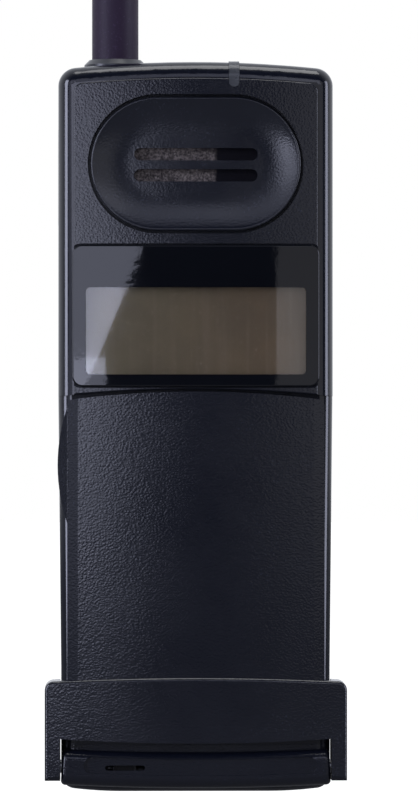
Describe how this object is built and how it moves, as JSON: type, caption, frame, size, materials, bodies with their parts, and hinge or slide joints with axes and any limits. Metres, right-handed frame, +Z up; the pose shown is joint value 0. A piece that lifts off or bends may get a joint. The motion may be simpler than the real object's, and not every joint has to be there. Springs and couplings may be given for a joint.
{
  "type": "early mobile phone",
  "caption": "Upright black flip mobile phone with stub antenna, oval earpiece dish, display lens, wide-skirted keypad flip and removable battery.",
  "frame": {"origin": "centre of the bounding box at its bottom, on the surface the phone stands on", "axes": "+Z up along the phone's length, front and keypad flip face -Y, +X to the right as seen from the front"},
  "size_m": [0.0538, 0.027, 0.16],
  "materials": {
    "shell": "glossy flanks, pebble-grained raised panel",
    "back_shell": "fine pebble grain",
    "flip_skin": "pebble grain with satin sheen",
    "flip_inner": "satin",
    "dish": "pebble grain",
    "felt": "dusty felt",
    "seal": "matte",
    "speaker": "satin",
    "lens": "polished, dark printed border",
    "lcd": "grey-brown unlit display",
    "backlight": "clear",
    "frame_plastic": "matte",
    "board": "solder mask",
    "can": "tinned sheet",
    "mat": "silicone",
    "key": "satin with printed legends",
    "steel": "brushed",
    "gold": "plated",
    "light_pipe": "smoky translucent",
    "led": "clear",
    "antenna_rubber": "satin purple-black",
    "antenna_collar": "satin",
    "card": "printed card",
    "cell": "wrapped cells"
  },
  "bodies": {
    "handset": {"front_cover": "shell", "rear_cover": "back_shell", "earpiece_grille": "dish", "earpiece_mesh": "felt", "earpiece_gasket": "seal", "earpiece_speaker": "speaker", "display_lens": "lens", "lcd_module": "lcd", "lcd_backlight": "backlight", "lcd_frame": "frame_plastic", "main_board": "board", "radio_shield_can": "can", "logic_shield_can": "can", "keypad_mat": "mat", "hinge_pins": "steel", "hinge_springs": "steel", "antenna_socket": "gold", "antenna_contact": "steel", "indicator_light_pipe": "light_pipe", "indicator_led": "led", "microphone": "speaker", "microphone_boot": "seal", "system_connector": "frame_plastic", "connector_contacts": "gold", "buzzer": "speaker", "sim_reader": "can", "phone_battery_contacts": "gold", "case_screws": "steel", "latch_spring": "steel"},
    "flip": {"flip_panel": "flip_skin", "flip_liner": "flip_inner", "flip_yoke": "flip_skin"},
    "antenna": {"antenna_sheath": "antenna_rubber", "antenna_base": "antenna_collar", "antenna_coil": "gold"},
    "sim_card": {"sim_card": "card"},
    "battery": {"battery_case": "frame_plastic", "battery_lid": "back_shell", "battery_cells": "cell", "battery_contacts": "gold"},
    "battery_latch": {"battery_latch": "back_shell"},
    "volume_rocker": {"volume_rocker": "key"},
    "key_call": {"key_call": "key"},
    "key_end": {"key_end": "key"},
    "key_left": {"key_left": "key"},
    "key_clear": {"key_clear": "key"},
    "key_right": {"key_right": "key"},
    "key_1": {"key_1": "key"},
    "key_2": {"key_2": "key"},
    "key_3": {"key_3": "key"},
    "key_4": {"key_4": "key"},
    "key_5": {"key_5": "key"},
    "key_6": {"key_6": "key"},
    "key_7": {"key_7": "key"},
    "key_8": {"key_8": "key"},
    "key_9": {"key_9": "key"},
    "key_star": {"key_star": "key"},
    "key_0": {"key_0": "key"},
    "key_hash": {"key_hash": "key"}
  },
  "joints": [
    {"name": "flip_hinge", "type": "hinge", "parent": "handset", "child": "flip", "pos_m": [0, -0.0092, 0.0046], "axis": [1, 0, 0], "range_deg": [0, 130]},
    {"name": "antenna_unscrew", "type": "hinge", "parent": "handset", "child": "antenna", "pos_m": [-0.0143, 0.0048, 0.1294], "axis": [0, 0, 1], "range_deg": [0, 360]},
    {"name": "sim_slide", "type": "slide", "parent": "handset", "child": "sim_card", "axis": [0, 0, 1], "range_m": [0, 0.015]},
    {"name": "battery_tilt", "type": "hinge", "parent": "handset", "child": "battery", "pos_m": [0, 0.012, 0.0072], "axis": [-1, 0, 0], "range_deg": [0, 30]},
    {"name": "latch_slide", "type": "slide", "parent": "handset", "child": "battery_latch", "axis": [0, 0, 1], "range_m": [0, 0.002], "stiffness_N_per_m": 400, "springref_m": -0.001, "deforming": ["latch_spring"]},
    {"name": "volume_rock", "type": "hinge", "parent": "handset", "child": "volume_rocker", "pos_m": [-0.0231, 0.0032, 0.11], "axis": [0, 1, 0], "range_deg": [-2.5, 2.5], "stiffness_Nm_per_rad": 0.05},
    {"name": "press_call", "type": "slide", "parent": "handset", "child": "key_call", "axis": [0, 1, 0], "range_m": [0, 0.0006], "stiffness_N_per_m": 1200, "springref_m": -0.0002},
    {"name": "press_end", "type": "slide", "parent": "handset", "child": "key_end", "axis": [0, 1, 0], "range_m": [0, 0.0006], "stiffness_N_per_m": 1200, "springref_m": -0.0002},
    {"name": "press_left", "type": "slide", "parent": "handset", "child": "key_left", "axis": [0, 1, 0], "range_m": [0, 0.0006], "stiffness_N_per_m": 1200, "springref_m": -0.0002},
    {"name": "press_clear", "type": "slide", "parent": "handset", "child": "key_clear", "axis": [0, 1, 0], "range_m": [0, 0.0006], "stiffness_N_per_m": 1200, "springref_m": -0.0002},
    {"name": "press_right", "type": "slide", "parent": "handset", "child": "key_right", "axis": [0, 1, 0], "range_m": [0, 0.0006], "stiffness_N_per_m": 1200, "springref_m": -0.0002},
    {"name": "press_1", "type": "slide", "parent": "handset", "child": "key_1", "axis": [0, 1, 0], "range_m": [0, 0.0006], "stiffness_N_per_m": 1200, "springref_m": -0.0002},
    {"name": "press_2", "type": "slide", "parent": "handset", "child": "key_2", "axis": [0, 1, 0], "range_m": [0, 0.0006], "stiffness_N_per_m": 1200, "springref_m": -0.0002},
    {"name": "press_3", "type": "slide", "parent": "handset", "child": "key_3", "axis": [0, 1, 0], "range_m": [0, 0.0006], "stiffness_N_per_m": 1200, "springref_m": -0.0002},
    {"name": "press_4", "type": "slide", "parent": "handset", "child": "key_4", "axis": [0, 1, 0], "range_m": [0, 0.0006], "stiffness_N_per_m": 1200, "springref_m": -0.0002},
    {"name": "press_5", "type": "slide", "parent": "handset", "child": "key_5", "axis": [0, 1, 0], "range_m": [0, 0.0006], "stiffness_N_per_m": 1200, "springref_m": -0.0002},
    {"name": "press_6", "type": "slide", "parent": "handset", "child": "key_6", "axis": [0, 1, 0], "range_m": [0, 0.0006], "stiffness_N_per_m": 1200, "springref_m": -0.0002},
    {"name": "press_7", "type": "slide", "parent": "handset", "child": "key_7", "axis": [0, 1, 0], "range_m": [0, 0.0006], "stiffness_N_per_m": 1200, "springref_m": -0.0002},
    {"name": "press_8", "type": "slide", "parent": "handset", "child": "key_8", "axis": [0, 1, 0], "range_m": [0, 0.0006], "stiffness_N_per_m": 1200, "springref_m": -0.0002},
    {"name": "press_9", "type": "slide", "parent": "handset", "child": "key_9", "axis": [0, 1, 0], "range_m": [0, 0.0006], "stiffness_N_per_m": 1200, "springref_m": -0.0002},
    {"name": "press_star", "type": "slide", "parent": "handset", "child": "key_star", "axis": [0, 1, 0], "range_m": [0, 0.0006], "stiffness_N_per_m": 1200, "springref_m": -0.0002},
    {"name": "press_0", "type": "slide", "parent": "handset", "child": "key_0", "axis": [0, 1, 0], "range_m": [0, 0.0006], "stiffness_N_per_m": 1200, "springref_m": -0.0002},
    {"name": "press_hash", "type": "slide", "parent": "handset", "child": "key_hash", "axis": [0, 1, 0], "range_m": [0, 0.0006], "stiffness_N_per_m": 1200, "springref_m": -0.0002}
  ]
}
